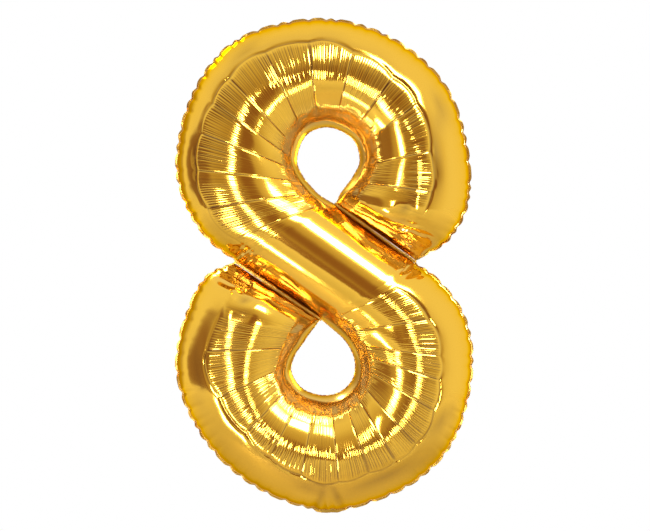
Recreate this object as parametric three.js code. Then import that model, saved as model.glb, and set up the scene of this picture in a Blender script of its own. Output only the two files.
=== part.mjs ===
// Inflated foil number balloon in the shape of an eight: one S-shaped tube of two films,
// closed by heat seals round its outline, round both eyes and along two waist welds.
// Millimetres, +Z up, the front faces -Y, and the origin is where the filling tail folds.
import * as THREE from 'three';

// Outlines: [angle in degrees, radius] about each centre, [x, z], in the order that the tube runs.
const upperCentre = [-5.7, 491.4];
const upperOutline = [
  [-46.2, 187], [-30, 207.5], [-10, 212.5], [30, 209.5], [60, 209], [90, 212.5], [125, 221],
  [150, 216], [180, 212], [200, 203.5], [215, 194], [226.9, 184.5],
];
const upperEyeCentre = [0.4, 500.8];
const upperEye = [
  [-80.9, 63], [-70, 49.5], [-55, 43.5], [-30, 41], [0, 44], [40, 45.5], [90, 46.5],
  [130, 47], [180, 43.8], [215, 41.6], [235, 43.2], [255, 49.5], [279.1, 63],
];
const lowerCentre = [-4.3, 208.3];
const lowerOutline = [
  [49.1, 195.7], [40, 203], [20, 212.5], [0, 211.5], [-30, 213], [-50, 210.5], [-70, 206],
  [-90, 207.1], [-120, 199.8], [-150, 203], [-180, 213.5], [-210, 214], [-220, 211], [-229.4, 195.7],
];
const lowerEyeCentre = [-5.9, 213.2];
const lowerEye = [
  [94.5, 61.5], [75, 48.3], [50, 42.8], [25, 41.6], [0, 43.3], [-30, 46.3], [-60, 47],
  [-90, 46], [-130, 47.2], [-165, 47.2], [-195, 41.6], [-220, 39.4], [-240, 44],
  [-255, 51.2], [-265.5, 61.5],
];

// Films and seals
const filmWall = 0.8; // stands for film 0.04 thick
const sealWidth = 3;
const sealThickness = 0.5;
const gap = 0.3; // air between touching pieces
const filmInset = sealWidth + 2 * gap; // clear of the seals where their facets differ
const halfDepth = 66; // from the seam plane to the crown of either film
const endRoll = 62; // length over which a tube end rounds down to its weld

// Filling tail and self-sealing valve
const plyThickness = 0.2;
const plyGap = 0.25;
const tailWidth = 34;
const tailFold = 0.62; // radians of bend behind the bottom before the tail runs straight
const tailStraight = 28;
const tailBendDepth = 70;
const tailBendHeight = 77;
const valveWidth = 26;
const valveRoot = 8;
const valveTip = 116;

// Mesh density
const loopSteps = 30;
const capSteps = 6;
const barSteps = 8;
const acrossSteps = 10;

const foilGold = { color: 0xe8b23a, roughness: 0.16, metalness: 1 };
const sealGold = { color: 0xc8922c, roughness: 0.3, metalness: 1 };
const valveFilm = { color: 0xe8ead8, roughness: 0.45, metalness: 0 };

const balloon = new THREE.Group();

function addPart(name, geometry, look) {
  const mesh = new THREE.Mesh(geometry, new THREE.MeshStandardMaterial(look));
  mesh.name = name;
  balloon.add(mesh);
}

// A smooth curve through polar points in the seam plane; z is carried as the vector's y.
function polarCurve(centre, points) {
  const route = points.map(([degrees, radius]) => {
    const angle = THREE.MathUtils.degToRad(degrees);
    return new THREE.Vector3(centre[0] + radius * Math.cos(angle), centre[1] + radius * Math.sin(angle), 0);
  });
  const curve = new THREE.CatmullRomCurve3(route, false, 'centripetal');
  curve.arcLengthDivisions = 600;
  return curve;
}

const outlineU = polarCurve(upperCentre, upperOutline);
const outlineL = polarCurve(lowerCentre, lowerOutline);
const eyeU = polarCurve(upperEyeCentre, upperEye);
const eyeL = polarCurve(lowerEyeCentre, lowerEye);
const rightNotch = outlineU.getPoint(0);
const leftNotch = outlineU.getPoint(1);
const upperApex = eyeU.getPoint(0);
const lowerApex = eyeL.getPoint(0);

// Moves a polyline sideways: positive distance goes to the left of its travel.
function shiftLine(points, distance, closed, sharpest = 3) {
  const count = points.length;
  return points.map((point, i) => {
    const before = closed ? points[(i + count - 1) % count] : points[Math.max(i - 1, 0)];
    const after = closed ? points[(i + 1) % count] : points[Math.min(i + 1, count - 1)];
    const into = point.clone().sub(before);
    const away = after.clone().sub(point);
    if (into.lengthSq() === 0) into.copy(away);
    if (away.lengthSq() === 0) away.copy(into);
    into.normalize();
    away.normalize();
    const mid = into.clone().add(away).normalize();
    const stretch = Math.min(1 / Math.max(mid.dot(into), 0.01), sharpest);
    return new THREE.Vector3(point.x - mid.y * distance * stretch, point.y + mid.x * distance * stretch, 0);
  });
}

// Stations along a loop, from the rounded end to the diagonal bar, as fractions of its length.
function loopStations(loopLength) {
  const stations = [];
  for (let k = 0; k < capSteps; k += 1) {
    stations.push(endRoll * (1 - Math.cos((k * Math.PI) / 2 / capSteps)) / loopLength);
  }
  const first = endRoll / loopLength;
  for (let k = 0; k <= loopSteps; k += 1) {
    stations.push(first + ((1 - first) * k) / loopSteps);
  }
  return stations;
}

// Both sides of the tube with the crown height at each station.
function tubeStations() {
  const sideA = [];
  const sideB = [];
  const height = [];
  const upperLength = (outlineU.getLength() + eyeU.getLength()) / 2;
  const lowerLength = (outlineL.getLength() + eyeL.getLength()) / 2;
  const roundEnd = (distance) => Math.sqrt(1 - Math.max(0, 1 - distance / endRoll) ** 2);
  const trimmed = (curve, f) => curve.getPointAt(THREE.MathUtils.lerp(filmInset / curve.getLength(), 1, f));
  for (const f of loopStations(upperLength)) {
    sideA.push(trimmed(eyeU, f));
    sideB.push(trimmed(outlineU, f));
    height.push(halfDepth * roundEnd(f * upperLength));
  }
  for (let k = 1; k < barSteps; k += 1) {
    sideA.push(upperApex.clone().lerp(rightNotch, k / barSteps));
    sideB.push(leftNotch.clone().lerp(lowerApex, k / barSteps));
    height.push(halfDepth);
  }
  const backwards = (curve, f) => curve.getPointAt(THREE.MathUtils.lerp(0, 1 - filmInset / curve.getLength(), 1 - f));
  for (const f of loopStations(lowerLength).reverse()) {
    sideA.push(backwards(outlineL, f));
    sideB.push(backwards(eyeL, f));
    height.push(halfDepth * roundEnd(f * lowerLength));
  }
  return { sideA: shiftLine(sideA, -filmInset, false), sideB: shiftLine(sideB, filmInset, false), height };
}

// One film as a thin closed shell: facing is -1 for the front and 1 for the back.
function filmShell(facing) {
  const { sideA, sideB, height } = tubeStations();
  const rows = height.length;
  const columns = acrossSteps + 1;
  const outer = [];
  for (let i = 0; i < rows; i += 1) {
    for (let j = 0; j < columns; j += 1) {
      const turn = (Math.PI * j) / acrossSteps;
      const flat = sideA[i].clone().lerp(sideB[i], (1 - Math.cos(turn)) / 2);
      const rise = j === 0 || j === acrossSteps ? 0 : height[i] * Math.sin(turn);
      outer.push(new THREE.Vector3(flat.x, facing * (gap / 2 + rise), flat.y));
    }
  }
  const at = (i, j) => outer[i * columns + j];
  const inner = outer.map((point, n) => {
    const i = Math.floor(n / columns);
    const j = n % columns;
    const across = at(i, acrossSteps).clone().sub(at(i, 0)).setY(0).normalize();
    const along = new THREE.Vector3(-across.z, 0, across.x);
    const edge = new THREE.Vector3();
    if (j === 0) edge.add(across);
    if (j === acrossSteps) edge.sub(across);
    if (i === 0) edge.add(along);
    if (i === rows - 1) edge.sub(along);
    if (edge.lengthSq() > 0) return point.clone().addScaledVector(edge, filmWall);
    const down = at(i + 1, j).clone().sub(at(i - 1, j));
    const over = at(i, j + 1).clone().sub(at(i, j - 1));
    const normal = over.cross(down).normalize();
    if (normal.y * facing > 0) normal.negate();
    return point.clone().addScaledVector(normal, filmWall);
  });
  const total = rows * columns;
  const index = [];
  const quad = (a, b, c, d) => {
    if (facing > 0) index.push(a, b, c, a, c, d);
    else index.push(a, c, b, a, d, c);
  };
  for (let i = 0; i + 1 < rows; i += 1) {
    for (let j = 0; j + 1 < columns; j += 1) {
      const a = i * columns + j;
      quad(a, a + columns, a + columns + 1, a + 1);
      quad(total + a, total + a + 1, total + a + columns + 1, total + a + columns);
    }
  }
  const rim = [];
  for (let j = 0; j < columns; j += 1) rim.push(j);
  for (let i = 1; i < rows; i += 1) rim.push(i * columns + acrossSteps);
  for (let j = acrossSteps - 1; j >= 0; j -= 1) rim.push((rows - 1) * columns + j);
  for (let i = rows - 2; i > 0; i -= 1) rim.push(i * columns);
  rim.forEach((a, k) => {
    const b = rim[(k + 1) % rim.length];
    quad(a, b, total + b, total + a);
  });
  const geometry = new THREE.BufferGeometry();
  const numbers = [...outer, ...inner].flatMap((p) => [p.x, p.y, p.z]);
  geometry.setAttribute('position', new THREE.Float32BufferAttribute(numbers, 3));
  geometry.setIndex(index);
  return geometry;
}

// A flat plate in the seam plane, half of its thickness to either side.
function seamPlate(points, holePoints) {
  const shape = new THREE.Shape(points.map((p) => new THREE.Vector2(p.x, p.y)));
  if (holePoints) shape.holes.push(new THREE.Path(holePoints.map((p) => new THREE.Vector2(p.x, p.y))));
  const plate = new THREE.ExtrudeGeometry(shape, { depth: sealThickness, bevelEnabled: false });
  plate.translate(0, 0, -sealThickness / 2);
  plate.rotateX(Math.PI / 2);
  return plate;
}

function outerSeam() {
  const upper = outlineU.getSpacedPoints(54);
  const lower = outlineL.getSpacedPoints(58).reverse();
  const ring = [...upper, ...lower.slice(1, -1)];
  return seamPlate(ring, shiftLine(ring, sealWidth, true));
}

function eyeSeam(curve, clockwise) {
  const ring = curve.getSpacedPoints(40).slice(0, -1);
  if (clockwise) ring.reverse();
  return seamPlate(shiftLine(ring, -sealWidth, true, 1.2), ring);
}

function waistWeld(apex, notch) {
  const along = notch.clone().sub(apex).normalize();
  const side = new THREE.Vector3(-along.y, along.x, 0).multiplyScalar(sealWidth);
  const start = apex.clone().addScaledVector(along, sealWidth * 1.6);
  const end = notch.clone().addScaledVector(along, -sealWidth * 2.6);
  return seamPlate([
    start.clone().sub(side), end.clone().sub(side), end.clone().add(side), start.clone().add(side),
  ]);
}

// The tail's side view as [y, z] points: a bend close behind the bottom film, then straight.
function tailRoute() {
  const route = [];
  const bendSteps = 8;
  for (let k = 0; k <= bendSteps; k += 1) {
    const turn = (tailFold * k) / bendSteps;
    route.push(new THREE.Vector3(tailBendDepth * Math.sin(turn), tailBendHeight * (1 - Math.cos(turn)), 0));
  }
  const slope = new THREE.Vector3(tailBendDepth * Math.cos(tailFold), tailBendHeight * Math.sin(tailFold), 0);
  route.push(route[bendSteps].clone().addScaledVector(slope.normalize(), tailStraight));
  return route;
}

// A strip that follows the tail between two offsets from its middle and two x values.
function tailStrip(low, high, left, right) {
  const route = tailRoute();
  const edge = [...shiftLine(route, low, false), ...shiftLine(route, high, false).reverse()];
  const shape = new THREE.Shape(edge.map((p) => new THREE.Vector2(p.x, p.y)));
  const strip = new THREE.ExtrudeGeometry(shape, { depth: right - left, bevelEnabled: false });
  strip.translate(0, 0, left);
  const turn = new THREE.Matrix4().makeBasis(
    new THREE.Vector3(0, 1, 0), new THREE.Vector3(0, 0, 1), new THREE.Vector3(1, 0, 0),
  );
  strip.applyMatrix4(turn);
  return strip;
}

function valvePly(facing) {
  const ply = new THREE.BoxGeometry(valveWidth, plyThickness, valveTip - valveRoot);
  ply.translate(0, facing * (plyGap + plyThickness) / 2, (valveTip + valveRoot) / 2);
  return ply;
}

addPart('front_panel', filmShell(-1), foilGold);
addPart('back_panel', filmShell(1), foilGold);
addPart('outer_seam', outerSeam(), sealGold);
addPart('upper_eye_seam', eyeSeam(eyeU, false), sealGold);
addPart('lower_eye_seam', eyeSeam(eyeL, true), sealGold);
addPart('upper_waist_weld', waistWeld(upperApex, rightNotch), sealGold);
addPart('lower_waist_weld', waistWeld(lowerApex, leftNotch), sealGold);

const pitch = plyThickness + plyGap;
const plyHalf = plyThickness / 2;
const plyEdge = tailWidth / 2 - sealWidth - gap;
addPart('tail_back_ply', tailStrip(-1.5 * pitch - plyHalf, -1.5 * pitch + plyHalf, -plyEdge, plyEdge), foilGold);
addPart('tail_front_ply', tailStrip(1.5 * pitch - plyHalf, 1.5 * pitch + plyHalf, -plyEdge, plyEdge), foilGold);
addPart('tail_left_seal', tailStrip(-pitch, pitch, -tailWidth / 2, -plyEdge - gap), sealGold);
addPart('tail_right_seal', tailStrip(-pitch, pitch, plyEdge + gap, tailWidth / 2), sealGold);
const mouth = valveWidth / 2;
addPart('valve_back_mouth', tailStrip(-pitch / 2 - plyHalf, -pitch / 2 + plyHalf, -mouth, mouth), valveFilm);
addPart('valve_front_mouth', tailStrip(pitch / 2 - plyHalf, pitch / 2 + plyHalf, -mouth, mouth), valveFilm);
addPart('valve_back_ply', valvePly(1), valveFilm);
addPart('valve_front_ply', valvePly(-1), valveFilm);

export default balloon;
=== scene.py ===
# Gold foil balloon in the shape of an eight: two films, their heat seals, the tail and the valve
import bpy
import math
import numpy as np
from mathutils import Matrix, Vector


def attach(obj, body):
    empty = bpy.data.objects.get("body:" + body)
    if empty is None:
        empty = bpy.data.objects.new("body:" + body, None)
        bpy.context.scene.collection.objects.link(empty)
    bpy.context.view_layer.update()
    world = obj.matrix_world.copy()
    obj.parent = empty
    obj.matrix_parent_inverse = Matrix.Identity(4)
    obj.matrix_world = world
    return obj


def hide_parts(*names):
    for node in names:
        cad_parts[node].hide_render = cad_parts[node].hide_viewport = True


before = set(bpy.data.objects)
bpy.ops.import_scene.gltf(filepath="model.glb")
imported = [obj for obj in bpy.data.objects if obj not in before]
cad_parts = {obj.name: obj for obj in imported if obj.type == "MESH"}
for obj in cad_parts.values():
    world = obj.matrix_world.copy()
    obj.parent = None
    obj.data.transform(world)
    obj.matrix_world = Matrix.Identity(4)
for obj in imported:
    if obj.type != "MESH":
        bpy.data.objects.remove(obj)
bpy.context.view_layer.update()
mm = 0.001
print("frame loaded:", len(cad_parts), "nodes")

# Outlines of the digit, in mm
outlines = {  # [degrees, radius] about each centre [x, z], in the order that the tube runs
    "upperCentre": (-5.7, 491.4),
    "upper": [(-46.2, 187), (-30, 207.5), (-10, 212.5), (30, 209.5), (60, 209), (90, 212.5), (125, 221),
              (150, 216), (180, 212), (200, 203.5), (215, 194), (226.9, 184.5)],
    "upperEyeCentre": (0.4, 500.8),
    "upperEye": [(-80.9, 63), (-70, 49.5), (-55, 43.5), (-30, 41), (0, 44), (40, 45.5), (90, 46.5),
                 (130, 47), (180, 43.8), (215, 41.6), (235, 43.2), (255, 49.5), (279.1, 63)],
    "lowerCentre": (-4.3, 208.3),
    "lower": [(49.1, 195.7), (40, 203), (20, 212.5), (0, 211.5), (-30, 213), (-50, 210.5), (-70, 206),
              (-90, 207.1), (-120, 199.8), (-150, 203), (-180, 213.5), (-210, 214), (-220, 211),
              (-229.4, 195.7)],
    "lowerEyeCentre": (-5.9, 213.2),
    "lowerEye": [(94.5, 61.5), (75, 48.3), (50, 42.8), (25, 41.6), (0, 43.3), (-30, 46.3), (-60, 47),
                 (-90, 46), (-130, 47.2), (-165, 47.2), (-195, 41.6), (-220, 39.4), (-240, 44),
                 (-255, 51.2), (-265.5, 61.5)],
}


def smoothPath(centre, knots, perSpan=80):  # centripetal curve through polar knots
    pts = np.array([[centre[0] + r * math.cos(math.radians(a)), centre[1] + r * math.sin(math.radians(a))]
                    for a, r in knots])
    pts = np.vstack([2 * pts[0] - pts[1], pts, 2 * pts[-1] - pts[-2]])
    out = []
    t = np.linspace(0, 1, perSpan, endpoint=False)[:, None]
    for p0, p1, p2, p3 in zip(pts, pts[1:], pts[2:], pts[3:]):
        d0, d1, d2 = (math.sqrt(np.linalg.norm(b - a)) for a, b in ((p0, p1), (p1, p2), (p2, p3)))
        t1 = ((p1 - p0) / d0 - (p2 - p0) / (d0 + d1) + (p2 - p1) / d1) * d1
        t2 = ((p2 - p1) / d1 - (p3 - p1) / (d1 + d2) + (p3 - p2) / d2) * d1
        out.append(p1 + t1 * t + (-3 * p1 + 3 * p2 - 2 * t1 - t2) * t**2 + (2 * p1 - 2 * p2 + t1 + t2) * t**3)
    out.append(pts[-2][None, :])
    return np.vstack(out)


def pathLength(path):
    return float(np.linalg.norm(np.diff(path, axis=0), axis=1).sum())


def atFractions(path, fractions):  # points at fractions of a path's own length
    run = np.concatenate([[0], np.cumsum(np.linalg.norm(np.diff(path, axis=0), axis=1))])
    where = np.asarray(fractions) * run[-1]
    return np.stack([np.interp(where, run, path[:, k]) for k in (0, 1)], axis=1)


def shiftPath(path, distance):  # sideways, positive to the left of travel
    away = np.gradient(path, axis=0)
    away /= np.linalg.norm(away, axis=1)[:, None]
    return path + distance * np.stack([-away[:, 1], away[:, 0]], axis=1)


upperOutline = smoothPath(outlines["upperCentre"], outlines["upper"])
upperEye = smoothPath(outlines["upperEyeCentre"], outlines["upperEye"])
lowerOutline = smoothPath(outlines["lowerCentre"], outlines["lower"])
lowerEye = smoothPath(outlines["lowerEyeCentre"], outlines["lowerEye"])
rightNotch, leftNotch = upperOutline[0], upperOutline[-1]
upperApex, lowerApex = upperEye[0], lowerEye[0]

# The tube that both films follow
tube = {
    "halfDepth": 66.0,
    "endRoll": 62.0,      # length over which an end rounds down to its weld
    "edgeInset": 2.8,     # film edge inside the outline, where the outer seal starts
    "eyeInset": 1.2,      # film edge beside an eye's seal
    "weldInset": 0.8,     # film edge beside a waist weld
    "weldFullness": 0.6,  # 0.5 is an ellipse, more leaves a wider groove at the welds
    "filmHalfGap": 0.12,  # half of the fused thickness between the two films
}
upperLength = (pathLength(upperOutline) + pathLength(upperEye)) / 2
lowerLength = (pathLength(lowerOutline) + pathLength(lowerEye)) / 2
barLength = float(np.linalg.norm(rightNotch - upperApex))
barStart, barEnd = upperLength, upperLength + barLength
tubeLength = barEnd + lowerLength
print("tube runs", round(tubeLength), "mm")


def buildSides(step=0.5):  # tables of both edges of the tube against the distance along it
    count = int(tubeLength / step)
    run = np.linspace(0, tubeLength, count)
    sideA, sideB = np.zeros((count, 2)), np.zeros((count, 2))
    up, low = run <= barStart, run > barEnd
    bar = ~up & ~low
    trim = tube["weldInset"]

    def part(path, share, trimmedEnd):  # share runs 0..1 from the start, the weld end is cut back
        cut = trim / pathLength(path)
        return atFractions(path, cut + (1 - cut) * share if trimmedEnd == 0 else (1 - cut) * share)

    sideA[up] = part(upperEye, run[up] / barStart, 0)
    sideB[up] = part(upperOutline, run[up] / barStart, 0)
    share = ((run[bar] - barStart) / barLength)[:, None]
    sideA[bar] = upperApex * (1 - share) + rightNotch * share
    sideB[bar] = leftNotch * (1 - share) + lowerApex * share
    sideA[low] = part(lowerOutline, (run[low] - barEnd) / lowerLength, 1)
    sideB[low] = part(lowerEye, (run[low] - barEnd) / lowerLength, 1)
    return run, sideA, sideB


def smoothTable(values, width):  # moving average with a wide soft window, ends kept
    reach = int(width)
    window = np.hanning(2 * reach + 1)
    window /= window.sum()
    padded = np.concatenate([np.full(reach, values[0]), values, np.full(reach, values[-1])])
    return np.convolve(padded, window, mode="valid")


tableRun, rawA, rawB = buildSides()
insetA = smoothTable(np.where(tableRun < barEnd, tube["eyeInset"], tube["edgeInset"]), 16)
insetB = smoothTable(np.where(tableRun > barStart, tube["eyeInset"], tube["edgeInset"]), 16)
edgeA = shiftPath(rawA, -insetA[:, None])
edgeB = shiftPath(rawB, insetB[:, None])
edgeA = np.stack([smoothTable(edgeA[:, k], 5) for k in (0, 1)], axis=1)
edgeB = np.stack([smoothTable(edgeB[:, k], 5) for k in (0, 1)], axis=1)


def blendStep(x, low, high):  # 0 below low, 1 above high, smooth between
    t = np.clip((x - low) / (high - low), 0, 1)
    return t * t * (3 - 2 * t)


def bump(x, centre, halfWidth):  # rounded hill of height 1
    return np.exp(-((x - centre) / halfWidth) ** 2)


class Ripple:  # repeatable smooth random values along one axis, about one change per pitch
    def __init__(self, seed, pitch, length=1700.0):
        self.pitch = pitch
        self.values = np.random.default_rng(seed).uniform(-1, 1, int(length / pitch) + 4)

    def __call__(self, run):
        place = np.clip(run / self.pitch, 0, len(self.values) - 2.001)
        cell = place.astype(int)
        t = place - cell
        t = t * t * (3 - 2 * t)
        return self.values[cell] * (1 - t) + self.values[cell + 1] * t


# Puckers, creases and facets
creases = {
    # radial folds, in degrees about the upper and the lower centre
    "upperFolds": (-13, 8, 33, 52, 75, 96, 117, 138, 151, 166, 183, 200, 218),
    "lowerFolds": (42, 22, 3, -9, -24, -42, -55, -69, -84, -103, -121, -138, -161, -185),
    "facet": 0.85,            # how far the film runs straight from fold to fold
    "foldDepth": 0.8,
    "foldHalfWidth": 1.3,
    "upperShares": (0, 0.17, 0.27, 0.35, 0.43, 0.5, 0.66, 0.83, 0.92, 1),  # along the upper loop
    "upperBand": (50, 56, 52, 49, 45, 36, 37, 29, 27, 28),                 # the smooth outer band's width
    "lowerShares": (0, 0.17, 0.33, 0.5, 0.58, 0.66, 0.74, 0.83, 0.92, 1),  # the same along the lower loop
    "lowerBand": (50, 48, 43, 44, 48, 55, 52, 42, 46, 50),
    "creaseDepth": 1.7,
    "creaseHalfWidth": 1.6,
    "pleatPitch": 2.9,        # fine pleats, measured along the middle of the tube
    "pleatDepth": 0.2,
    "rimBand": 8.5,           # smooth band beside each eye
    "crinkleLine": 26.5,      # distance in from the inner edge
    "tuckPitch": 14.0,        # tucks along the outer seal
    "tuckDepth": 1.5,
    "lip": 6.5,               # ridge beside each waist weld
}
dents = [  # soft folds: x, z, direction in degrees, half length, half width, depth; all in mm
    (-115, 656, 33, 24, 7, -2.0), (160, 570, -62, 26, 8, -2.2), (-187, 490, 90, 48, 6, -2.0),
    (152, 518, 90, 50, 5, -2.2), (166, 500, 84, 40, 6, 1.2), (-182, 203, 96, 44, 7, -2.5),
    (159, 133, 55, 28, 8, -2.6), (77, 53, 24, 62, 9, -3.2), (-28, 41, -8, 24, 6, -2.2),
    (100, 78, 32, 24, 5, 2.0), (107, 434, 80, 38, 4, -3.0), (122, 440, 84, 40, 9, 2.2),
    (42, 428, -26, 17, 2.5, 1.6), (76, 420, 40, 26, 9, 2.0),
    (-117, 300, 80, 36, 4, -3.0), (-140, 296, 84, 40, 7, 2.2), (-52, 294, -26, 17, 2.5, 1.6),
    (-88, 303, 40, 26, 9, 2.0), (-12, 22, 68, 20, 5, -2.5), (14, 24, 112, 22, 5, -2.5),
]
crumples = [  # x, z, reach, height; small creased patches at the notches, the neck and the eye points
    (118, 390, 22, 3.2), (-133, 331, 22, 3.2), (-118, 362, 15, 2.4), (112, 350, 13, 2.0), (0, 8, 24, 2.2),
    (46, 452, 9, 0.8), (-50, 262, 9, 0.8),
]


def alongUpper(angle):  # distance along the tube at an angle about the upper centre
    first, last = outlines["upper"][0][0], outlines["upper"][-1][0]
    return (angle - first) / (last - first) * barStart


def alongLower(angle):  # the same about the lower centre, which the tube rounds the other way
    first, last = outlines["lower"][0][0], outlines["lower"][-1][0]
    return barEnd + (first - angle) / (first - last) * lowerLength


def nearestTo(run, spots):  # distance to the nearest of some sorted places
    index = np.clip(np.searchsorted(spots, run), 1, len(spots) - 1)
    return np.minimum(np.abs(run - spots[index - 1]), np.abs(run - spots[index]))


def foldPositions(jitter, seed):  # where the radial folds cross the tube, as distances along it
    upper = [alongUpper(angle) for angle in creases["upperFolds"]]
    lower = [alongLower(angle) for angle in creases["lowerFolds"]]
    spots = np.array(upper + lower)
    return np.sort(spots + np.random.default_rng(seed).uniform(-jitter, jitter, len(spots)))


def tuckPositions():
    pitch = creases["tuckPitch"]
    count = int(1.8 * tubeLength / pitch)  # enough even if every gap is the shortest
    return np.cumsum(pitch * np.random.default_rng(5).uniform(0.6, 1.45, count)) - 20


tucks = tuckPositions()


def bandWidth(run):  # width of the smooth outer band
    upper = np.interp(run / barStart, creases["upperShares"], creases["upperBand"])
    lower = np.interp((run - barEnd) / lowerLength, creases["lowerShares"], creases["lowerBand"])
    return upper + (lower - upper) * blendStep(run, barStart, barEnd)


innerSlopes = {  # the film's slope in degrees, on the way from an eye's edge at 0 to the crown at 1
    "places": (0, 0.012, 0.04, 0.1, 0.105, 0.2, 0.305, 0.32, 0.44, 0.56, 0.6, 0.64, 0.72, 0.8, 0.92, 1),
    "slopes": (86, 80, 73, 66, 46, 44, 41, 37, 36, 36, 34, 26, 20, 15.5, 11.5, 0),
}


def innerSection():  # height from an eye's edge up to the crown, summed from those slopes
    place = np.linspace(0, 1, 800)
    slope = np.interp(place, innerSlopes["places"], innerSlopes["slopes"])
    height = np.concatenate([[0], np.cumsum(np.tan(np.radians(slope[:-1])) * np.diff(place))])
    return place, height / height[-1]


sectionPlace, sectionHeight = innerSection()


def crumple(x, z, seed):  # sharp little facets from crossed folded waves
    rng = np.random.default_rng(seed)
    total = np.zeros_like(x)
    for k in range(5):
        angle, pitch, start = rng.uniform(0, math.pi), rng.uniform(7, 15), rng.uniform(0, 6)
        total += 0.5 - np.abs(np.sin((x * math.cos(angle) + z * math.sin(angle)) * math.pi / pitch + start))
    return total / 2


def tableAt(run, table):
    return np.stack([np.interp(run, tableRun, table[:, k]) for k in (0, 1)], axis=-1)


def zonesAt(run, across):  # distances and blend weights that every crease uses
    width = np.linalg.norm(tableAt(run, edgeB) - tableAt(run, edgeA), axis=-1)
    fromA, fromB = across * width, (1 - across) * width
    upper = 1 - blendStep(run, barStart - 50, barStart + 10)
    lower = blendStep(run, barEnd - 10, barEnd + 50)
    innerA = 1 - blendStep(run, barEnd - 10, barEnd + 18)
    innerB = blendStep(run, barStart - 18, barStart + 10)
    ends = np.minimum(run, tubeLength - run)
    onUpper = run < tubeLength / 2
    fromOuter = np.where(onUpper, fromB, fromA)
    return {
        "width": width, "fromA": fromA, "fromB": fromB, "innerA": innerA, "innerB": innerB, "ends": ends,
        "fromOuter": fromOuter, "fromInner": width - fromOuter, "ring": np.clip(upper + lower, 0, 1),
        "loops": np.clip(upper + lower, 0, 1) * blendStep(ends, 34, 78),
    }


def roundTube(run, across, facing):  # the tube with no creases
    a, b = tableAt(run, edgeA), tableAt(run, edgeB)
    zone = zonesAt(run, across)
    turn = np.clip(4 * across * (1 - across), 0, 1)
    power = 0.5 + (tube["weldFullness"] - 0.5) * (1 - zone["ring"])
    section = turn ** power
    inner = np.clip(2 * zone["fromInner"] / zone["width"], 0, 1)
    shaped = np.interp(inner, sectionPlace, sectionHeight)
    useShape = zone["ring"] * (zone["fromInner"] < zone["width"] / 2)
    section = section + (shaped - section) * useShape
    fromEnd = np.clip(zone["ends"] / tube["endRoll"], 0, 1)
    roundEnd = np.clip(1 - (1 - fromEnd) ** 2, 0, 1) ** tube["weldFullness"]
    height = tube["halfDepth"] * section * roundEnd
    flat = a + (b - a) * across[..., None]
    return np.stack([flat[..., 0], facing * (tube["filmHalfGap"] + height), flat[..., 1]], axis=-1), zone


def baseSurface(run, across, facing, folds):
    point, zone = roundTube(run, across, facing)
    index = np.clip(np.searchsorted(folds, run) - 1, 0, len(folds) - 2)
    low, high = folds[index], folds[index + 1]
    share = np.clip((run - low) / (high - low), 0, 1)
    straight = (run >= folds[0]) & (run <= folds[-1]) & ((low > barEnd) | (high < barStart))
    band = bandWidth(run)
    weight = creases["facet"] * zone["loops"] * straight
    weight = weight * blendStep(zone["fromOuter"], band, band + 14) * blendStep(zone["fromInner"], 6, 14)
    first, last = roundTube(low, across, facing)[0], roundTube(high, across, facing)[0]
    chord = first + (last - first) * share[..., None]
    return point + (chord - point) * weight[..., None], zone, share, index, band


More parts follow.
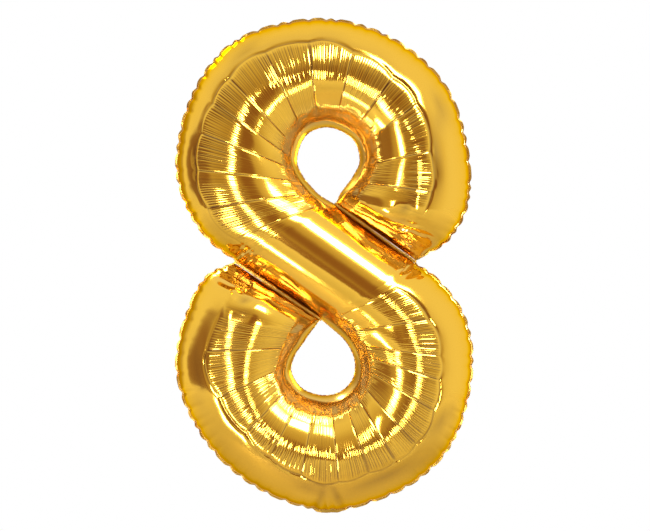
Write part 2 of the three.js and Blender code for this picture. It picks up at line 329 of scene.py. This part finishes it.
def creaseOffset(run, x, z, zone, share, index, band, folds, seed):
    rng = np.random.default_rng(seed)
    loops, ends, ring = zone["loops"], zone["ends"], zone["ring"]
    fromOuter, fromInner = zone["fromOuter"], zone["fromInner"]
    arch = 4 * share * (1 - share)
    lean = rng.uniform(-1, 1, len(folds))[index]
    quiet = np.clip(rng.uniform(-0.35, 0.75, len(folds)), 0.04, 1)[index]
    # each sector leans its own way and swells a little
    middle = blendStep(fromOuter, band, band + 14) * blendStep(fromInner, 10, 22)
    offset = loops * middle * arch * (0.35 + 0.022 * lean * (fromOuter - 86))
    # radial folds
    reach = blendStep(fromOuter, band, band + 10) * blendStep(fromInner, 22, 28)
    fromFold = nearestTo(run, folds)
    offset -= loops * reach * creases["foldDepth"] * np.exp(-(fromFold / creases["foldHalfWidth"]) ** 2)
    # crease line between the smooth outer band and the pleats, arched outwards between folds
    line = band - 3.2 * (arch - 0.5) + 1.0 * Ripple(seed + 2, 45)(run)
    away = fromOuter - line
    strength = np.clip(0.8 + 0.5 * Ripple(seed + 3, 38)(run), 0.25, 1.3)
    offset -= loops * strength * creases["creaseDepth"] * bump(away, 0, creases["creaseHalfWidth"])
    offset += loops * (0.45 * bump(away, 7, 5.5) + 0.12 * bump(away, -7, 5))
    # fine pleats with sharp valleys
    phase = math.pi * (run / creases["pleatPitch"] + 0.35 * Ripple(seed + 4, 8)(run))
    pleat = 1.27 - 2 * np.abs(np.sin(phase + 0.5 * np.sin(phase * 0.37)))
    loud = np.clip(0.9 + 0.35 * Ripple(seed + 5, 5)(run) + 0.3 * Ripple(seed + 6, 19)(run), 0.15, 1.6)
    deeper = np.abs(np.sin(phase * 0.43 + 0.9 * Ripple(seed + 16, 11)(run))) ** 5
    fade = 1 - (1 - quiet) * blendStep(fromOuter, 76 + 9 * Ripple(seed + 11, 16)(run), 92)
    zonePleat = blendStep(away, 2.0, 7.0) * fade * blendStep(fromInner, 25, 31)
    offset -= loops * zonePleat * loud * (creases["pleatDepth"] * pleat + 0.17 * deeper)
    # painted shade: a darker colour along the pleat valleys, beside the crease line, in the radial folds, on
    # the crease line and over the roll beside each eye
    valley = (0.5 + pleat / 2.6) ** 3
    shade = loops * zonePleat * loud * (1.2 * valley + 0.28 * deeper)
    shade += 0.16 * loops * bump(away, -7, 6) * (1 + Ripple(seed + 15, 60)(run))
    shade += loops * reach * 0.9 * np.exp(-fromFold ** 2)
    shade += loops * strength * 0.85 * bump(away, 0.3, 1.2)
    roll = blendStep(fromInner, 8.6, 11) * (1 - blendStep(fromInner, 22, 26))
    offset -= ring * blendStep(ends, 10, 34) * roll * loud * 0.22 * pleat
    shade += ring * blendStep(ends, 6, 30) * roll * (0.5 + 0.5 * loud * valley)
    haze = np.exp(-(ends / 26) ** 4)
    # crinkled ridge and rim crease along every edge that meets an eye or a weld, with painted shade between
    # the crinkle's knots and in the rim crease
    for fromEdge, inner in ((zone["fromA"], zone["innerA"]), (zone["fromB"], zone["innerB"])):
        wander = creases["crinkleLine"] + 1.6 * Ripple(seed + 7, 15)(run) - 9.0 * (1 - ring)
        knots = 0.5 + 0.5 * np.sin(phase * 1.5 + 2.4 * Ripple(seed + 8, 5)(run))
        calm = inner * blendStep(ends, 10, 34)
        offset += calm * bump(fromEdge, wander, 1.3) * (0.3 + (0.5 + 1.0 * ring) * knots)
        shade += 0.5 * calm * bump(fromEdge, wander, 3.0) * (1 - knots)
        offset -= calm * (0.35 + 0.2 * ring) * bump(fromEdge, creases["rimBand"], 0.9)
        shade += calm * 0.8 * bump(fromEdge, creases["rimBand"] + 0.6, 1.1)
        haze += inner * np.exp(-(fromEdge / 24) ** 4)
        offset += calm * (1 - ring) * 0.16 * pleat * bump(fromEdge, 8, 6)
        pulled = np.exp(-(nearestTo(run, tucks) / 2.2) ** 2)
        offset -= (1 - inner) * blendStep(ends, 3, 14) * 1.0 * pulled * np.exp(-fromEdge / 4.5)
        swell = 0.5 * bump(fromEdge, 9, 6) * Ripple(seed + 12, 9)(run)
        offset += (1 - inner) * swell * blendStep(ends, 12, 40)
    # lip and puckers beside a waist weld
    alongWeld = zone["fromA"]
    puckers = np.abs(np.sin(alongWeld * math.pi / 3.3 + 1.6 * Ripple(seed + 13, 9)(alongWeld)))
    offset += 1.5 * bump(ends, creases["lip"], 2.6) * (0.7 + 0.3 * Ripple(seed + 14, 12)(alongWeld))
    offset -= 0.9 * bump(ends, creases["lip"] + 6.5, 3.0)
    offset += 0.45 * (puckers - 0.6) * bump(ends, creases["lip"] + 0.5, 5.0)
    # slow dents, placed folds and crumpled patches; the sunken dents also get painted shade
    offset += 0.55 * Ripple(seed + 9, 50)(run) * loops
    offset += 0.8 * bump(fromOuter, 16, 8) * Ripple(seed + 10, 27)(run) * loops
    for cx, cz, angle, halfLength, halfWidth, depth in dents:
        c, s = math.cos(math.radians(angle)), math.sin(math.radians(angle))
        u, v = (x - cx) * c + (z - cz) * s, -(x - cx) * s + (z - cz) * c
        hill = np.exp(-(u / halfLength) ** 2 - (v / halfWidth) ** 2)
        offset += depth * hill
        shade += 0.17 * max(-depth, 0) * hill
    for k, (cx, cz, reachOut, tall) in enumerate(crumples):
        near = np.exp(-(((x - cx) ** 2 + (z - cz) ** 2) / reachOut ** 2) ** 1.5)
        offset += tall * near * crumple(x, z, seed + 60 + k)
    return offset, np.clip(shade, 0, 1), np.clip(haze, 0, 1)


def filmSurface(run, across, facing, seed, jitter):
    folds = foldPositions(jitter, seed)
    point, zone, share, index, band = baseSurface(run, across, facing, folds)
    e = 0.4
    along = (baseSurface(np.clip(run + e, 0, tubeLength), across, facing, folds)[0]
             - baseSurface(np.clip(run - e, 0, tubeLength), across, facing, folds)[0])
    over = (baseSurface(run, np.clip(across + 0.002, 0, 1), facing, folds)[0]
            - baseSurface(run, np.clip(across - 0.002, 0, 1), facing, folds)[0])
    normal = np.cross(along, over)
    normal /= np.maximum(np.linalg.norm(normal, axis=-1), 1e-9)[..., None]
    normal *= np.where(normal[..., 1] * facing < 0, -1, 1)[..., None]
    x, z = point[..., 0], point[..., 2]
    offset, shade, haze = creaseOffset(run, x, z, zone, share, index, band, folds, seed)
    edgeAway = np.minimum(np.minimum(zone["fromA"], zone["fromB"]), zone["ends"])
    offset *= blendStep(edgeAway, 0, 2.5)
    point = point + normal * offset[..., None]
    shift = tuckShift(run, zone)
    ab = tableAt(run, edgeB) - tableAt(run, edgeA)
    ab /= np.linalg.norm(ab, axis=-1)[..., None]
    point[..., 0] += ab[..., 0] * shift
    point[..., 2] += ab[..., 1] * shift
    return point, shade, haze


def tuckShift(run, zone):  # how far the tucks draw the film's edge inwards, towards +across
    pull = creases["tuckDepth"] * np.exp(-(nearestTo(run, tucks) / 2.8) ** 2) * blendStep(zone["ends"], 2, 12)
    outerA, outerB = 1 - zone["innerA"], 1 - zone["innerB"]
    return pull * (outerA * np.exp(-zone["fromA"] / 5.0) - outerB * np.exp(-zone["fromB"] / 5.0))


# Film meshes
filmGrid = {"loopStep": 0.53, "barStep": 1.3, "endRows": 60, "middleColumns": 7}
# columns in from an eye or a weld, in mm
eyeOffsets = np.array([0, 1, 2.6, 5, 7.6, 8.8, 10.5, 14, 18, 22, 24.8, 26.8, 29.5])


def stationRuns():
    roll = tube["endRoll"]
    start = roll * (1 - np.cos(np.linspace(0, math.pi / 2, filmGrid["endRows"], endpoint=False)))
    upperRows = np.arange(roll, barStart, filmGrid["loopStep"])
    barRows = np.arange(barStart, barEnd, filmGrid["barStep"])
    lowerRows = np.arange(barEnd, tubeLength - roll, filmGrid["loopStep"])
    return np.concatenate([start, upperRows, barRows, lowerRows, tubeLength - start[::-1]])


def columnPlaces(runs):  # share across the tube for every column, denser where the film is creased
    zone = zonesAt(runs, np.full_like(runs, 0.5))
    band = bandWidth(runs)[:, None]
    steps = np.array([0, 1.5, 4, 9])
    outer = np.concatenate([np.repeat(steps[None, :], len(runs), 0), 0.45 * band, 0.68 * band, band - 7,
                            band - 3, band - 1.4, band, band + 1.4, band + 3.5, band + 8], axis=1)
    sides = []
    for inner in (zone["innerA"], zone["innerB"]):
        sides.append(outer + (eyeOffsets[None, :] - outer) * inner[:, None])
    width = zone["width"][:, None]
    low, high = sides[0], width - sides[1][:, ::-1]
    between = np.linspace(0, 1, filmGrid["middleColumns"] + 2)[None, 1:-1]
    middle = low[:, -1:] + (high[:, :1] - low[:, -1:]) * between
    return np.clip(np.concatenate([low, middle, high], axis=1) / width, 0, 1)


def makeMesh(name, points, faces):
    mesh = bpy.data.meshes.new(name)
    mesh.from_pydata((np.asarray(points) * mm).tolist(), [], faces)
    mesh.polygons.foreach_set("use_smooth", [True] * len(mesh.polygons))
    obj = bpy.data.objects.new(name, mesh)
    bpy.context.collection.objects.link(obj)
    return obj


def addMap(obj, name, flat):  # one flat position per vertex, in metres
    uv = obj.data.uv_layers.new(name=name)
    vertexOfLoop = np.zeros(len(obj.data.loops), dtype=np.int32)
    obj.data.loops.foreach_get("vertex_index", vertexOfLoop)
    uv.data.foreach_set("uv", (flat * mm)[vertexOfLoop].ravel())


def gridFaces(rows, columns, flip):
    first = np.arange(rows - 1)[:, None] * columns + np.arange(columns - 1)[None, :]
    quads = np.stack([first, first + 1, first + columns + 1, first + columns], axis=-1).reshape(-1, 4)
    return quads[:, ::-1] if flip else quads


def makeFilm(name, facing, seed, jitter):
    runs = stationRuns()
    across = columnPlaces(runs)
    rows, columns = across.shape
    runGrid = np.repeat(runs[:, None], columns, axis=1)
    points, shade, haze = filmSurface(runGrid, across, facing, seed, jitter)
    obj = makeMesh(name, points.reshape(-1, 3), gridFaces(rows, columns, facing > 0).tolist())
    addMap(obj, "filmMap", np.stack([runGrid.ravel(), across.ravel() * 165.0], axis=1))
    # the first attribute holds painted shade for the creases; the second marks the duller film by the seals
    for label, values in (("paintedCreaseShade", shade), ("sealHaze", haze)):
        layer = obj.data.attributes.new(label, "FLOAT", "POINT")
        layer.data.foreach_set("value", values.ravel().astype(np.float32))
    print(name, (rows - 1) * (columns - 1) * 2, "triangles")
    return obj


# Heat seals
seal = {"width": 2.8, "thickness": 0.22, "overlap": 0.6, "step": 0.9, "curl": 0.55, "neckDrop": 0.65,
        "eyeWidth": 1.1, "eyeCurl": 0.35, "weldRows": 160}
neckRun = alongLower(-90)  # where the tail leaves the outer seal


def thinShell(name, lower, upper, ring):  # closed thin body between two grids of points
    rows, columns = lower.shape[:2]
    points = np.concatenate([lower.reshape(-1, 3), upper.reshape(-1, 3)])
    size = rows * columns
    index = np.arange(size).reshape(rows, columns)
    if ring:
        index = np.vstack([index, index[:1]])
    low = np.stack([index[:-1, :-1], index[1:, :-1], index[1:, 1:], index[:-1, 1:]], axis=-1).reshape(-1, 4)
    faces = [low, low[:, ::-1] + size]
    for column, flip in ((0, 1), (columns - 1, -1)):
        near, far = index[:-1, column], index[1:, column]
        faces.append(np.stack([near, near + size, far + size, far], axis=-1)[:, ::flip])
    if not ring:
        for row, flip in ((0, -1), (rows - 1, 1)):
            near, far = index[row, :-1], index[row, 1:]
            faces.append(np.stack([near, near + size, far + size, far], axis=-1)[:, ::flip])
    obj = makeMesh(name, points, np.concatenate(faces).tolist())
    obj.data.set_sharp_from_angle(angle=math.radians(50))
    return obj


def sealStations(low, high):
    return np.linspace(low, high, int(abs(high - low) / seal["step"]))


def sealEdge(run, onB, width, curl, seed, hasNeck=False):  # lower and upper grids, film edge to cut edge
    across = np.full_like(run, 1.0 if onB else 0.0)
    zone = zonesAt(run, across)
    a, b = tableAt(run, edgeA), tableAt(run, edgeB)
    over = (b - a) / zone["width"][:, None]
    edge = (b if onB else a) + over * tuckShift(run, zone)[:, None]
    outward = over if onB else -over
    near = nearestTo(run, tucks)
    full = 0.42 + 0.58 * np.clip(near / 5.0, 0, 1) ** 0.7
    if hasNeck:  # it runs on down to the tail's fold
        neck = 1 - blendStep(np.abs(run - neckRun), 9, 16)
        full = full + (1 + seal["neckDrop"] - full) * neck
    shares = np.linspace(0, 1, 5)
    reach = -seal["overlap"] + shares[None, :] * (width * full + seal["overlap"])[:, None]
    flat = edge[:, None, :] + outward[:, None, :] * reach[..., None]
    lift = curl * Ripple(seed, 6.5)(run)[:, None] * shares[None, :] ** 1.5
    half = seal["thickness"] / 2
    lower = np.stack([flat[..., 0], lift - half, flat[..., 1]], axis=-1)
    upper = np.stack([flat[..., 0], lift + half, flat[..., 1]], axis=-1)
    return lower, upper


def makeOuterSeal():
    width, curl = seal["width"], seal["curl"]
    parts = [sealEdge(sealStations(0.5, barStart - 0.5), True, width, curl, 71),
             sealEdge(sealStations(tubeLength - 0.5, barEnd + 0.5), False, width, curl, 72, True)]
    lower, upper = (np.concatenate([part[k] for part in parts]) for k in (0, 1))
    return thinShell("outer_seal", upper, lower, True)


def makeEyeSeal(name, low, high, onB, seed):
    lower, upper = sealEdge(sealStations(low, high), onB, seal["eyeWidth"], seal["eyeCurl"], seed)
    return thinShell(name, upper, lower, True) if onB else thinShell(name, lower, upper, True)


def makeWeld(name, start, end, seed):  # straight fused strip from an eye's point to a notch
    share = np.linspace(-0.012, 1.012, seal["weldRows"])[:, None]
    way = (end - start) / np.linalg.norm(end - start)
    side = np.array([-way[1], way[0]])
    line = start + (end - start) * share
    ripple = 0.25 * Ripple(seed, 7)(share[:, 0] * 140 + 5)
    offsets = np.array([-1.8, -0.5, 0.5, 1.8])
    flat = line[:, None, :] + side * (offsets[None, :] + ripple[:, None])[..., None]
    lift = 0.25 * Ripple(seed + 1, 4)(share[:, 0] * 140 + 5)[:, None] * np.array([0, -1, 1, 0])
    half = seal["thickness"] / 2
    lower = np.stack([flat[..., 0], lift - half, flat[..., 1]], axis=-1)
    upper = np.stack([flat[..., 0], lift + half, flat[..., 1]], axis=-1)
    return thinShell(name, lower, upper, False)


# Filling tail, folded up behind
tail = {
    "width": 34.0,
    "sealWidth": 3.0,
    "bendDepth": 70.0,   # half axes of the curve that the tail follows up behind the balloon
    "bendHeight": 77.0,
    "fold": 0.62,        # angle of that curve that it covers, in radians
    "straight": 28.0,    # length beyond the curve
    "ply": 0.16,
    "plySpace": 0.3,
    "gather": 0.8,       # height of the gathers at the neck
    "rows": 90,
    "columns": 61,
}


def tailRoute():  # (y, z) and its normal along the middle of the tail
    turn = np.linspace(0.012, tail["fold"], tail["rows"])
    y, z = tail["bendDepth"] * np.sin(turn), tail["bendHeight"] * (1 - np.cos(turn))
    way = np.array([y[-1] - y[-2], z[-1] - z[-2]])
    way /= np.linalg.norm(way)
    more = np.linspace(0, tail["straight"], 50)[1:, None] * way
    route = np.vstack([np.stack([y, z], axis=1), [y[-1], z[-1]] + more])
    along = np.gradient(route, axis=0)
    along /= np.linalg.norm(along, axis=1)[:, None]
    return route, np.stack([along[:, 1], -along[:, 0]], axis=1)


def tailGrid(left, right, columns, level):  # points of the tail's film at one level of its thickness
    route, normal = tailRoute()
    x = np.linspace(left, right, columns)
    share = np.linspace(0, 1, len(route))[:, None]
    phase = x[None, :] * 0.86 + 1.3 * Ripple(81, 5)(x + 40)[None, :]
    gather = np.sin(phase + 1.1 * share) * (1 - blendStep(share, 0.15, 0.8))
    gather = gather + 0.35 * np.sin(phase * 0.5 + 5 * share)
    creased = 0.35 * crumple(x[None, :] + 0 * share, 60 * share + 0 * x[None, :], 83)
    lift = tail["gather"] * (gather + creased) * blendStep(share, 0, 0.06) + level
    flat = route[:, None, :] + normal[:, None, :] * lift[..., None]
    narrow = 1 - 0.32 * (1 - blendStep(share, 0, 0.35))
    return np.stack([x[None, :] * narrow, flat[..., 0], flat[..., 1]], axis=-1)


def makeTailPiece(name, left, right, columns, low, high):
    return thinShell(name, tailGrid(left, right, columns, high), tailGrid(left, right, columns, low), False)


# Materials
def newMaterial(name):
    material = bpy.data.materials.new(name)
    material.use_nodes = True
    nodes = material.node_tree.nodes
    return material, nodes, material.node_tree.links, nodes["Principled BSDF"]


def wrinkleGroup():  # fine wrinkles of thin film, as a normal
    group = bpy.data.node_groups.new("filmWrinkles", "ShaderNodeTree")
    for name, low in (("Scale", 60.0), ("Height", 0.0004), ("Strength", 0.3)):
        socket = group.interface.new_socket(name, in_out="INPUT", socket_type="NodeSocketFloat")
        socket.default_value = low
    group.interface.new_socket("Normal", in_out="OUTPUT", socket_type="NodeSocketVector")
    nodes, links = group.nodes, group.links
    given, result = nodes.new("NodeGroupInput"), nodes.new("NodeGroupOutput")
    place = nodes.new("ShaderNodeTexCoord")
    wide, fine = nodes.new("ShaderNodeTexNoise"), nodes.new("ShaderNodeTexNoise")
    larger = nodes.new("ShaderNodeMath")
    larger.operation = "MULTIPLY"
    larger.inputs[1].default_value = 5.0
    links.new(given.outputs["Scale"], wide.inputs["Scale"])
    links.new(given.outputs["Scale"], larger.inputs[0])
    links.new(larger.outputs[0], fine.inputs["Scale"])
    for noise in (wide, fine):
        noise.inputs["Detail"].default_value = 1.0
        links.new(place.outputs["Object"], noise.inputs["Vector"])
    both = nodes.new("ShaderNodeMath")
    both.operation = "MULTIPLY_ADD"
    both.inputs[1].default_value = 0.16
    links.new(fine.outputs["Fac"], both.inputs[0])
    links.new(wide.outputs["Fac"], both.inputs[2])
    relief = nodes.new("ShaderNodeBump")
    links.new(given.outputs["Strength"], relief.inputs["Strength"])
    links.new(given.outputs["Height"], relief.inputs["Distance"])
    links.new(both.outputs[0], relief.inputs["Height"])
    links.new(relief.outputs["Normal"], result.inputs["Normal"])
    return group


wrinkles = wrinkleGroup()


def paintCreaseShade(nodes, links, shader, tint, roughness):  # painted shade: deeper gold in the creases; duller film by the seals
    color = None
    # the crease attribute carries painted shade, mixed in as a deep amber; the seal haze pales and dulls the
    # film
    for label, tone in (("sealHaze", (0.80, 0.53, 0.16)), ("paintedCreaseShade", (0.33, 0.18, 0.05))):
        amount = nodes.new("ShaderNodeAttribute")
        amount.attribute_name = label
        mix = nodes.new("ShaderNodeMix")
        mix.data_type = "RGBA"
        mix.inputs["A"].default_value = (*tint, 1)
        mix.inputs["B"].default_value = (*tone, 1)
        links.new(amount.outputs["Fac"], mix.inputs["Factor"])
        if color:
            links.new(color, mix.inputs["A"])
        else:
            rough = nodes.new("ShaderNodeMapRange")
            rough.inputs["To Min"].default_value = roughness
            rough.inputs["To Max"].default_value = roughness + 0.09
            links.new(amount.outputs["Fac"], rough.inputs["Value"])
            links.new(rough.outputs["Result"], shader.inputs["Roughness"])
        color = mix.outputs["Result"]
    links.new(color, shader.inputs["Base Color"])


def goldFilm(name, tint, edgeTint, roughness, scale, height, strength, creased):
    material, nodes, links, shader = newMaterial(name)
    shader.inputs["Metallic"].default_value = 1.0
    shader.inputs["Base Color"].default_value = (*tint, 1)
    shader.inputs["Specular Tint"].default_value = (*edgeTint, 1)
    shader.inputs["Roughness"].default_value = roughness
    fine = nodes.new("ShaderNodeGroup")
    fine.node_tree = wrinkles
    fine.inputs["Scale"].default_value = scale
    fine.inputs["Height"].default_value = height
    fine.inputs["Strength"].default_value = strength
    links.new(fine.outputs["Normal"], shader.inputs["Normal"])
    if creased:
        paintCreaseShade(nodes, links, shader, tint, roughness)
    return material


foil = goldFilm("foilFilm", (0.90, 0.53, 0.06), (0.88, 0.58, 0.18), 0.10, 45, 0.0003, 0.3, True)
sealed = goldFilm("heatSeal", (0.46, 0.28, 0.05), (0.55, 0.36, 0.10), 0.30, 220, 0.0004, 0.6, False)
valveFilm, _, _, valveShader = newMaterial("valveFilm")
valveShader.inputs["Base Color"].default_value = (0.86, 0.88, 0.88, 1)
valveShader.inputs["Roughness"].default_value = 0.25
valveShader.inputs["Alpha"].default_value = 0.55


def finishPiece(obj, material, body, slotName, *nodes):
    obj.data.materials.append(material)
    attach(obj, body)
    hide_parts(*nodes)
    return obj


frontFilm = finishPiece(makeFilm("front_film", -1, 21, 1.0), foil, "balloon", "foil_film", "front_panel")
backFilm = finishPiece(makeFilm("back_film", 1, 47, 5.0), foil, "balloon", "foil_film", "back_panel")
finishPiece(makeOuterSeal(), sealed, "balloon", "heat_seal", "outer_seam")
finishPiece(makeEyeSeal("upper_eye_ring", 0.5, barStart - 0.5, False, 74), sealed, "balloon",
            "heat_seal", "upper_eye_seam")
finishPiece(makeEyeSeal("lower_eye_ring", barEnd + 0.5, tubeLength - 0.5, True, 75), sealed, "balloon",
            "heat_seal", "lower_eye_seam")
finishPiece(makeWeld("upper_weld", upperApex, rightNotch, 76), sealed, "balloon",
            "heat_seal", "upper_waist_weld")
finishPiece(makeWeld("lower_weld", lowerApex, leftNotch, 78), sealed, "balloon",
            "heat_seal", "lower_waist_weld")
print("films and seals built")

innerHalf = tail["width"] / 2 - tail["sealWidth"]
top, space = tail["plySpace"] / 2 + tail["ply"], tail["plySpace"] / 2
backPly = finishPiece(makeTailPiece("tail_back_film", -innerHalf, innerHalf, tail["columns"], -top, -space),
                      foil, "tail", "foil_film", "tail_back_ply")
frontPly = finishPiece(makeTailPiece("tail_front_film", -innerHalf, innerHalf, tail["columns"], space, top),
                       foil, "tail", "foil_film", "tail_front_ply")
sealOverlap, sealColumns = 0.02, 7
outerHalf, sealFrom = innerHalf + tail["sealWidth"], innerHalf - sealOverlap
finishPiece(makeTailPiece("tail_left_edge", -outerHalf, -sealFrom, sealColumns, -space, space), sealed,
            "tail", "heat_seal", "tail_left_seal")
finishPiece(makeTailPiece("tail_right_edge", sealFrom, outerHalf, sealColumns, -space, space), sealed,
            "tail", "heat_seal", "tail_right_seal")
# the mouth keeps to the same columns as the films around it, two short at each side, so that they nest
mouthColumns = tail["columns"] - 4
mouthHalf = innerHalf * (mouthColumns - 1) / (tail["columns"] - 1)
mouthNear, mouthFar = 0.03, 0.13
finishPiece(makeTailPiece("valve_back_sheet", -mouthHalf, mouthHalf, mouthColumns, -mouthFar, -mouthNear),
            valveFilm, "tail", "valve_film", "valve_back_mouth")
finishPiece(makeTailPiece("valve_front_sheet", -mouthHalf, mouthHalf, mouthColumns, mouthNear, mouthFar),
            valveFilm, "tail", "valve_film", "valve_front_mouth")
for name in ("valve_back_ply", "valve_front_ply"):
    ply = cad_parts[name]
    ply.data.materials.clear()
    ply.data.materials.append(valveFilm)
print("tail and valve built")

# Floor, light and camera
studio = {
    "lens": 100.0,
    "distance": 2.569,
    "target": (-0.0043, 0.0, 0.3513),
    "floor": -0.55,
    "floorRadius": 3.0,
}


def softbox(name, place, aim, size, roll, core, strength):  # a wide dim panel with a brighter one set in it
    turn = (Vector(aim) - Vector(place)).to_track_quat("-Z", "Y").to_matrix()
    layers = (("Rim", size, 0.0, strength[0]), ("Core", core, 0.01, strength[1]))
    for label, extent, ahead, radiance in layers:
        light = bpy.data.lights.new(name + label, "AREA")
        light.shape = "RECTANGLE"
        light.size, light.size_y = extent
        light.energy = radiance * math.pi * extent[0] * extent[1]
        obj = bpy.data.objects.new(name + label, light)
        bpy.context.collection.objects.link(obj)
        obj.location = Vector(place) + ahead * (Vector(aim) - Vector(place)).normalized()
        obj.rotation_euler = (turn @ Matrix.Rotation(math.radians(roll), 3, "Z")).to_euler()
        obj.visible_camera = False


darkCards = [  # direction, cosine where it starts, cosine where it is full, how strongly it shows
    ((-0.19, -0.94, -0.29), 0.955, 0.99, 0.85),
    ((-0.92, -0.38, -0.02), 0.88, 0.97, 0.85),
    ((0.20, -0.97, 0.04), 0.95, 0.99, 0.88),
    ((0.05, -0.60, -0.80), 0.86, 0.97, 0.55),
    ((0.00, 0.97, -0.05), 0.60, 0.97, 0.42),
    ((-0.75, 0.66, 0.05), 0.88, 0.98, 0.55),
    ((0.15, 0.96, -0.25), 0.955, 0.99, 0.60),
]


def studioWorld():  # white all round, dimmer and warm on the side where the camera stands, with dark cards
    world = bpy.data.worlds.new("studio")
    bpy.context.scene.world = world
    world.use_nodes = True
    nodes, links = world.node_tree.nodes, world.node_tree.links
    toward = nodes.new("ShaderNodeTexCoord")

    def towards(direction, low, high, atLow, atHigh):
        dot = nodes.new("ShaderNodeVectorMath")
        dot.operation = "DOT_PRODUCT"
        dot.inputs[1].default_value = Vector(direction).normalized()
        links.new(toward.outputs["Generated"], dot.inputs[0])
        amount = nodes.new("ShaderNodeMapRange")
        amount.interpolation_type = "SMOOTHSTEP"
        for socket, value in (("From Min", low), ("From Max", high), ("To Min", atLow), ("To Max", atHigh)):
            amount.inputs[socket].default_value = value
        links.new(dot.outputs["Value"], amount.inputs["Value"])
        return amount.outputs["Result"]

    ramp = nodes.new("ShaderNodeValToRGB")
    stops = [(0.0, (0.50, 0.38, 0.24)), (0.10, (0.60, 0.50, 0.36)), (0.25, (0.74, 0.67, 0.54)),
             (0.45, (0.88, 0.84, 0.76)), (0.75, (0.97, 0.96, 0.94)), (1.0, (1, 1, 1))]
    while len(ramp.color_ramp.elements) < len(stops):
        ramp.color_ramp.elements.new(0.5)
    for element, (place, tone) in zip(ramp.color_ramp.elements, stops):
        element.position = place
        element.color = (*tone, 1)
    links.new(towards((-0.12, -0.95, -0.18), 1.0, -0.05, 0.0, 1.0), ramp.inputs["Fac"])
    color = ramp.outputs["Color"]
    for direction, low, high, amount in darkCards:
        mix = nodes.new("ShaderNodeMix")
        mix.data_type = "RGBA"
        mix.inputs["B"].default_value = (0.26, 0.12, 0.10, 1)
        links.new(color, mix.inputs["A"])
        links.new(towards(direction, low, high, 0.0, amount), mix.inputs["Factor"])
        color = mix.outputs["Result"]
    links.new(color, nodes["Background"].inputs["Color"])
    plain, both, path = (nodes.new(kind) for kind in (
        "ShaderNodeBackground", "ShaderNodeMixShader", "ShaderNodeLightPath"))
    plain.inputs["Color"].default_value = (1, 1, 1, 1)
    links.new(path.outputs["Is Camera Ray"], both.inputs["Fac"])
    links.new(nodes["Background"].outputs["Background"], both.inputs[1])
    links.new(plain.outputs["Background"], both.inputs[2])
    links.new(both.outputs["Shader"], nodes["World Output"].inputs["Surface"])


studioWorld()
softbox("key", (0.67, -1.01, 1.33), (0.05, 0, 0.46), (0.78, 0.54), -33, (0.7, 0.38), (2.4, 28))
softbox("tall", (-0.46, -1.24, 0.36), (0, 0, 0.36), (0.28, 0.52), 0, (0.14, 0.4), (2.0, 36))
softbox("low", (-0.72, -0.8, -0.29), (-0.12, 0, 0.11), (0.44, 0.24), -52, (0.38, 0.13), (1.2, 30))
softbox("side", (0.38, -1.2, 0.08), (0, 0, 0.2), (0.2, 0.3), 0, (0.13, 0.24), (1.4, 26))
softbox("backHigh", (-0.7, 0.95, 1.35), (0, 0, 0.42), (0.7, 0.4), 33, (0.6, 0.24), (2.2, 28))
softbox("backTall", (0.5, 1.2, 0.43), (0, 0, 0.4), (0.26, 0.6), 0, (0.13, 0.46), (2.0, 28))

bpy.ops.mesh.primitive_circle_add(vertices=96, radius=studio["floorRadius"], fill_type="NGON",
                                  location=(0, 0, studio["floor"]))
floor = bpy.context.object
floor.name = "floor"
floorMaterial, floorNodes, floorLinks, floorShader = newMaterial("paleFloorPaintedShade")
floorPlace, floorSpan, floorShadeRamp = (floorNodes.new(kind) for kind in (
    "ShaderNodeTexCoord", "ShaderNodeVectorMath", "ShaderNodeValToRGB"))
floorSpan.operation = "LENGTH"
floorLinks.new(floorPlace.outputs["Object"], floorSpan.inputs[0])
floorScale = floorNodes.new("ShaderNodeMapRange")
floorScale.inputs["From Max"].default_value = studio["floorRadius"]
floorLinks.new(floorSpan.outputs["Value"], floorScale.inputs["Value"])
floorLinks.new(floorScale.outputs["Result"], floorShadeRamp.inputs["Fac"])
# painted shade: the floor is darker under the balloon and pales towards its rim
floorShadeRamp.color_ramp.elements[0].position = 0.28
floorShadeRamp.color_ramp.elements[0].color = (0.38, 0.35, 0.32, 1)
floorShadeRamp.color_ramp.elements[1].position = 0.85
floorShadeRamp.color_ramp.elements[1].color = (0.97, 0.97, 0.97, 1)
floorLinks.new(floorShadeRamp.outputs["Color"], floorShader.inputs["Base Color"])
floorShader.inputs["Roughness"].default_value = 0.8
floor.data.materials.append(floorMaterial)

camera = bpy.data.cameras.new("camera")
camera.lens = studio["lens"]
camera.sensor_width = 36
cameraObject = bpy.data.objects.new("camera", camera)
bpy.context.collection.objects.link(cameraObject)
tx, ty, tz = studio["target"]
cameraObject.location = (tx, ty - studio["distance"], tz)
cameraObject.rotation_euler = (math.pi / 2, 0, 0)
bpy.context.scene.camera = cameraObject
bpy.context.scene.view_settings.view_transform = "Standard"
